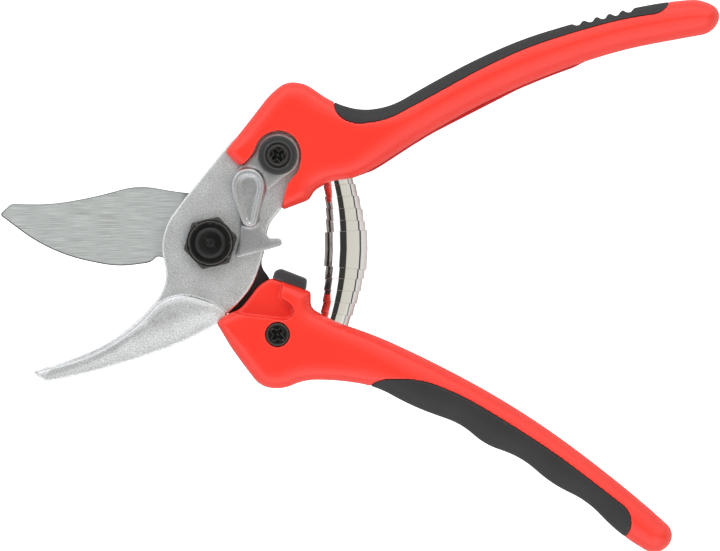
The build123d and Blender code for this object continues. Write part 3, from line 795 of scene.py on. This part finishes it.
def turned(name, rows, centre, carve=None, steps=96, ring=True):
    """A piece turned about Z from rows of (radius, height). A third value in a row is the half-width
    across flats that the row is milled to, and carve may lower points on it."""
    verts, faces, starts = [], [], []
    for radius, height, *flats in rows:
        starts.append(len(verts))
        for i in range(steps if radius else 1):
            angle = 2 * pi * i / steps
            r = radius
            if flats:
                off = (angle - radians(HEX_TURN) + pi / 6) % (pi / 3) - pi / 6
                r = min(radius, flats[0] / cos(pi / 6 - abs(off)))
            z = height - (carve(r, angle, height) if carve else 0)
            x, y = centre[0] + r * cos(angle), centre[1] + r * sin(angle)
            verts.append((x * MM, y * MM, z * MM))
    pairs = list(zip(range(len(rows)), range(1, len(rows))))
    if ring:
        pairs.append((len(rows) - 1, 0))
    for a, b in pairs:
        single_a, single_b = not rows[a][0], not rows[b][0]
        for i in range(steps):
            j = (i + 1) % steps
            corners = [starts[a] + (0 if single_a else i), starts[a] + (0 if single_a else j)]
            corners += [starts[b] + (0 if single_b else j), starts[b] + (0 if single_b else i)]
            faces.append(tuple(dict.fromkeys(corners)))
    mesh = bpy.data.meshes.new(name)
    mesh.from_pydata(verts, [], faces)
    fixed = bmesh.new()
    fixed.from_mesh(mesh)
    bmesh.ops.recalc_face_normals(fixed, faces=fixed.faces)
    fixed.to_mesh(mesh)
    fixed.free()
    mesh.polygons.foreach_set("use_smooth", [True] * len(mesh.polygons))
    mesh.set_sharp_from_angle(angle=radians(32))
    piece = bpy.data.objects.new(name, mesh)
    scene.collection.objects.link(piece)
    return piece


def stand_for(piece, node, finish):
    """Puts a piece in a CAD node's place, with its finish."""
    piece.data.materials.append(finish)
    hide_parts(node)
    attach(piece, frame["nodes"][node]["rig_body"])


low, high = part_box("catch_bush")
catch_axis = ((low.x + high.x) / 2 / MM, (low.y + high.y) / 2 / MM)
z0, z1 = low.z / MM, high.z / MM
bush = turned("catch-bush", [
    (2.05, z0), (3.2, z0), (3.2, z1 - 1.35), (5.45, z1 - 1.35), (5.6, z1 - 1.2), (5.6, z1 - 0.5),
    (5.5, z1 - 0.28), (5.3, z1 - 0.22), (4.3, z1 - 0.2), (4.1, z1 - 0.1), (4.0, z1 - 0.01),
    (3.7, z1 - 0.01), (3.6, z1 - 0.1), (3.6, z1 - 0.5), (2.05, z1 - 0.5),
], catch_axis)
stand_for(bush, "catch_bush", bush_finish)

# ==============================================================================
# Screws: pan heads with a punched cross recess, blackened. One holds the catch, the other
# the blade's tang in the lower handle.
# ==============================================================================
black_finish, shader = moulded(
    "black_steel", (0.003, 0.003, 0.003), (0.007, 0.007, 0.007), 0.27, 0.3, 0.008, (0.09, 0.085, 0.08)
)
shader.inputs["Specular IOR Level"].default_value = 0.2

CROSS_ARM, CROSS_HALF, CROSS_DEPTH = 2.1, 0.46, 0.9
CROSS_TAPER = 0.16
CROSS_LIP = (0.1, 0.06)
CROSS_END = 0.25


def cross_recess(turn):
    """How far a cross recess, turned by some degrees, lowers a head's top at a place on it."""

    def carve(r, angle, height):
        x, y = r * cos(angle - radians(turn)), r * sin(angle - radians(turn))
        arm, half = max(abs(x), abs(y)), min(abs(x), abs(y))
        beside = half - CROSS_TAPER * (CROSS_ARM - arm)
        open_side = 1 - float(ease_step(beside, CROSS_HALF - CROSS_LIP[0], CROSS_HALF + CROSS_LIP[1]))
        open_end = 1 - float(ease_step(arm, CROSS_ARM - CROSS_END, CROSS_ARM))
        return CROSS_DEPTH * min(open_side, open_end)

    return carve


for node, turn in (("catch_screw", 35), ("blade_screw", 50)):
    low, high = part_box(node)
    axis = ((low.x + high.x) / 2 / MM, (low.y + high.y) / 2 / MM)
    head_r = (high.x - low.x) / 2 / MM
    top, end = high.z / MM, low.z / MM
    recess = cross_recess(turn)
    rows = [(0.0, top)]
    rows += [(0.1 * i, top - 0.06 * (0.1 * i / head_r) ** 2) for i in range(1, int(head_r * 10) - 5)]
    rows += [
        (head_r - 0.45, top - 0.08), (head_r - 0.2, top - 0.18), (head_r - 0.06, top - 0.36),
        (head_r, top - 0.6), (head_r, top - 2.05), (head_r - 0.15, top - 2.2),
        (2.0, top - 2.2), (2.0, end + 0.4), (1.6, end), (0.0, end),
    ]
    screw = turned(
        node.replace("_", "-"),
        rows,
        axis,
        lambda r, a, z: recess(r, a, z) if z > top - 0.1 and r < 2.3 else 0,
        ring=False,
    )
    stand_for(screw, node, black_finish)

# ==============================================================================
# Pivot nut and cap: a black hexagon nut with a turned chamfer and a thin notched collar,
# closed by a pressed-in cap with a bevelled boss.
# ==============================================================================
HEX_HALF = 6.84
low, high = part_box("pivot_nut")
z0 = low.z / MM
zt = z0 + 4.6


def notches(r, angle, height):
    """Six small notches in the nut's collar, in line with the hexagon's corners."""
    off = (angle - radians(HEX_TURN) + pi / 6) % (pi / 3) - pi / 6
    return 0.5 if height > zt + 0.3 and abs(off) < 0.075 else 0


nut = turned("pivot-nut", [
    (4.05, z0), (6.8, z0), (6.9, z0 + 0.1), (6.9, z0 + 0.7), (7.5, z0 + 0.8, HEX_HALF - 0.1),
    (7.74, z0 + 1.0, HEX_HALF), (7.74, zt - 0.8, HEX_HALF),
    (7.6, zt - 0.62, HEX_HALF), (6.9, zt - 0.12, HEX_HALF),
    (6.72, zt - 0.02), (6.45, zt), (6.34, zt + 0.02), (6.3, zt + 0.12), (6.3, zt + 0.5), (6.22, zt + 0.6),
    (5.98, zt + 0.6), (5.92, zt + 0.5), (5.92, zt), (4.05, zt),
], (0, 0), notches, steps=192)
stand_for(nut, "pivot_nut", black_finish)

cap_finish, shader = moulded(
    "cap_polymer", (0.004, 0.004, 0.004), (0.008, 0.008, 0.008), 0.30, 0.25, 0.008, (0.05, 0.05, 0.05)
)
shader.inputs["Specular IOR Level"].default_value = 0.2
cap_top = zt + 1.3
cap = turned("nut-cap", [
    (0.0, cap_top - 0.35), (0.25, cap_top - 0.3), (0.45, cap_top), (0.62, cap_top), (0.7, cap_top - 0.07),
    (0.95, cap_top - 0.07), (1.03, cap_top), (1.2, cap_top), (1.28, cap_top - 0.05), (3.2, cap_top - 0.05),
    (3.3, cap_top), (3.75, cap_top), (3.88, cap_top - 0.06), (4.35, cap_top - 0.5), (4.45, cap_top - 0.62),
    (4.5, cap_top - 0.75), (4.5, zt + 0.42), (4.6, zt + 0.3), (5.3, zt + 0.26), (5.4, zt + 0.18),
    (5.8, zt + 0.18), (5.88, zt + 0.1), (5.88, zt), (0.0, zt),
], (0, 0), ring=False, steps=144)
stand_for(cap, "nut_cap", cap_finish)

# ==============================================================================
# Pivot bolt, washers, bush and the nuts pressed into the handles: turned and stamped parts
# that mostly show from below and from the side.
# ==============================================================================


def metal(name, dark, light, roughness):
    """Plain turned metal with fine tool marks and dull patches."""
    material, n, l, shader = new_material(name, light, roughness, 1.0)
    marks = use_group(n, BRUSHED, Across=5.0, Along=0.4)
    grain = use_group(n, GRAIN, Size=0.6, Coarseness=12.0)
    tint(n, l, grain.outputs["Cloud"], dark, light, shader.inputs["Base Color"])
    vary(n, l, marks.outputs["Mask"], roughness - 0.07, roughness + 0.09, shader.inputs["Roughness"])
    raise_bump(n, l, marks.outputs["Height"], 0.01, shader)
    return material


zinc_finish = metal("zinc_steel", (0.48, 0.49, 0.50), (0.74, 0.75, 0.76), 0.34)
bronze_finish = metal("bronze", (0.36, 0.20, 0.08), (0.62, 0.38, 0.16), 0.38)
liner_finish, shader = moulded("bearing_polymer", (0.30, 0.29, 0.26), (0.46, 0.45, 0.41), 0.5, 0.3, 0.01)
for node, finish, slot, width in (
    ("pivot_bolt", black_finish, "black_steel", 0.12), ("steel_washer", zinc_finish, "plain_steel", 0.1),
    ("bearing_washer", liner_finish, "bearing_polymer", 0.1), ("pivot_bush", bronze_finish, "bronze", 0.08),
    ("catch_wave_washer", zinc_finish, "plain_steel", 0.04), ("catch_nut", zinc_finish, "plain_steel", 0.15),
    ("blade_nut", zinc_finish, "plain_steel", 0.15),
):
    piece = cad_copy(node)
    round_edges(piece, width)
    piece.data.materials.append(finish)

# ==============================================================================
# Volute spring: polished steel strip wound into two cones, widest in the middle. Its
# narrow ends sit over a stud in each handle, and its turns slide into each other.
# ==============================================================================
spring_finish, n, l, shader = new_material("polished_strip", (0.90, 0.89, 0.87), 0.05, 1.0)
grain = use_group(n, GRAIN, Size=1.2, Coarseness=6.0)
vary(n, l, grain.outputs["Mask"], 0.03, 0.07, shader.inputs["Roughness"])
edges = use_group(n, EDGES, Spread=0.1)
tint(n, l, edges.outputs["Corner"], (0.90, 0.89, 0.87), (0.35, 0.33, 0.31), shader.inputs["Base Color"])

strip_edge_finish, n, l, shader = new_material("strip_edge", (0.45, 0.44, 0.43), 0.6, 1.0)
grain = use_group(n, GRAIN, Size=0.3, Coarseness=6.0)
tint(n, l, grain.outputs["Mask"], (0.30, 0.29, 0.28), (0.55, 0.54, 0.52), shader.inputs["Base Color"])
vary(n, l, grain.outputs["Cloud"], 0.5, 0.7, shader.inputs["Roughness"])

UPPER_END = Vector((36.3, 18.6))
LOWER_END = Vector((35.4, -22.2))
BOW = 3.0
MID_R = 6.0
TURN_STEP = 0.36
TURNS = 5
PITCH = 3.45
STRIP_WIDTH = 10.6
STRIP_THICK = 0.32
FACETS = 72

chord = UPPER_END - LOWER_END
half_chord = chord.length / 2
bow_r = (half_chord**2 + BOW**2) / (2 * BOW)
up = chord.normalized()
outward = Vector((up.y, -up.x))
bow_centre = (UPPER_END + LOWER_END) / 2 - outward * (bow_r - BOW)
span = bow_r * atan2(half_chord, bow_r - BOW)


def on_spring(along, radius, turn):
    """A point on the bowed spring: distance along its axis from the middle, radius, and angle round it."""
    swing = along / bow_r
    out = outward * cos(swing) + up * sin(swing)
    centre = bow_centre + out * bow_r
    side = out * (radius * sin(turn))
    return ((centre.x + side.x) * MM, (centre.y + side.y) * MM, (MID_Z + radius * cos(turn)) * MM)


EDGE_SIDES = (2, 3, 4, 6, 7, 8)  # the profile's narrow sides
verts, faces, finishes, shares = [], [], [], []
corner = 0.06
half_w, half_t = STRIP_WIDTH / 2, STRIP_THICK / 2
PROFILE = [
    (half_t, -half_w + corner), (half_t, 0.0), (half_t, half_w - corner),
    (half_t - corner, half_w), (-half_t + corner, half_w), (-half_t, half_w - corner),
    (-half_t, -half_w + corner), (-half_t + corner, -half_w), (half_t - corner, -half_w),
]


def wind(first, steps, place):
    """Adds a strip to the spring: place gives the middle and radius of each cross-section."""
    start = len(verts)
    for i in range(steps + 1):
        turn = first - 2 * pi * i / FACETS
        along, radius = place(i / FACETS)
        for out, across in PROFILE:
            verts.append(on_spring(along + across, radius + out, turn))
            shares.append(min(max(0.5 - along / (2 * span), 0), 1))
    count = len(PROFILE)
    for i in range(steps):
        a = start + i * count
        for j in range(count):
            k = (j + 1) % count
            faces.append((a + j, a + k, a + count + k, a + count + j))
            finishes.append(int(j in EDGE_SIDES))
    last = start + steps * count
    finishes.extend((1, 1))
    faces.append(tuple(start + j for j in reversed(range(count))))
    faces.append(tuple(last + j for j in range(count)))


START = radians(200)
OUT_SHIFT, IN_SHIFT = 0.35, 0.9  # where a cone's first turn starts, in turns of pitch and of step


def cone(direction):
    """Places a cone's turns: outward along the axis, each closer to it than the last."""
    return lambda t: (direction * PITCH * (t + OUT_SHIFT), MID_R - TURN_STEP * (t + IN_SHIFT))


wind(START, FACETS - 1, lambda t: (0.0, MID_R))
for direction in (1, -1):
    wind(START, TURNS * FACETS, cone(direction))
mesh = bpy.data.meshes.new("volute_spring")
mesh.from_pydata(verts, [], faces)
spring = bpy.data.objects.new("volute-spring", mesh)
scene.collection.objects.link(spring)
mesh.materials.append(spring_finish)
mesh.materials.append(strip_edge_finish)
mesh.polygons.foreach_set("use_smooth", [True] * len(mesh.polygons))
mesh.polygons.foreach_set("material_index", finishes)
mesh.set_sharp_from_angle(angle=radians(30))
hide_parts("volute_spring")
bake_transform(spring)
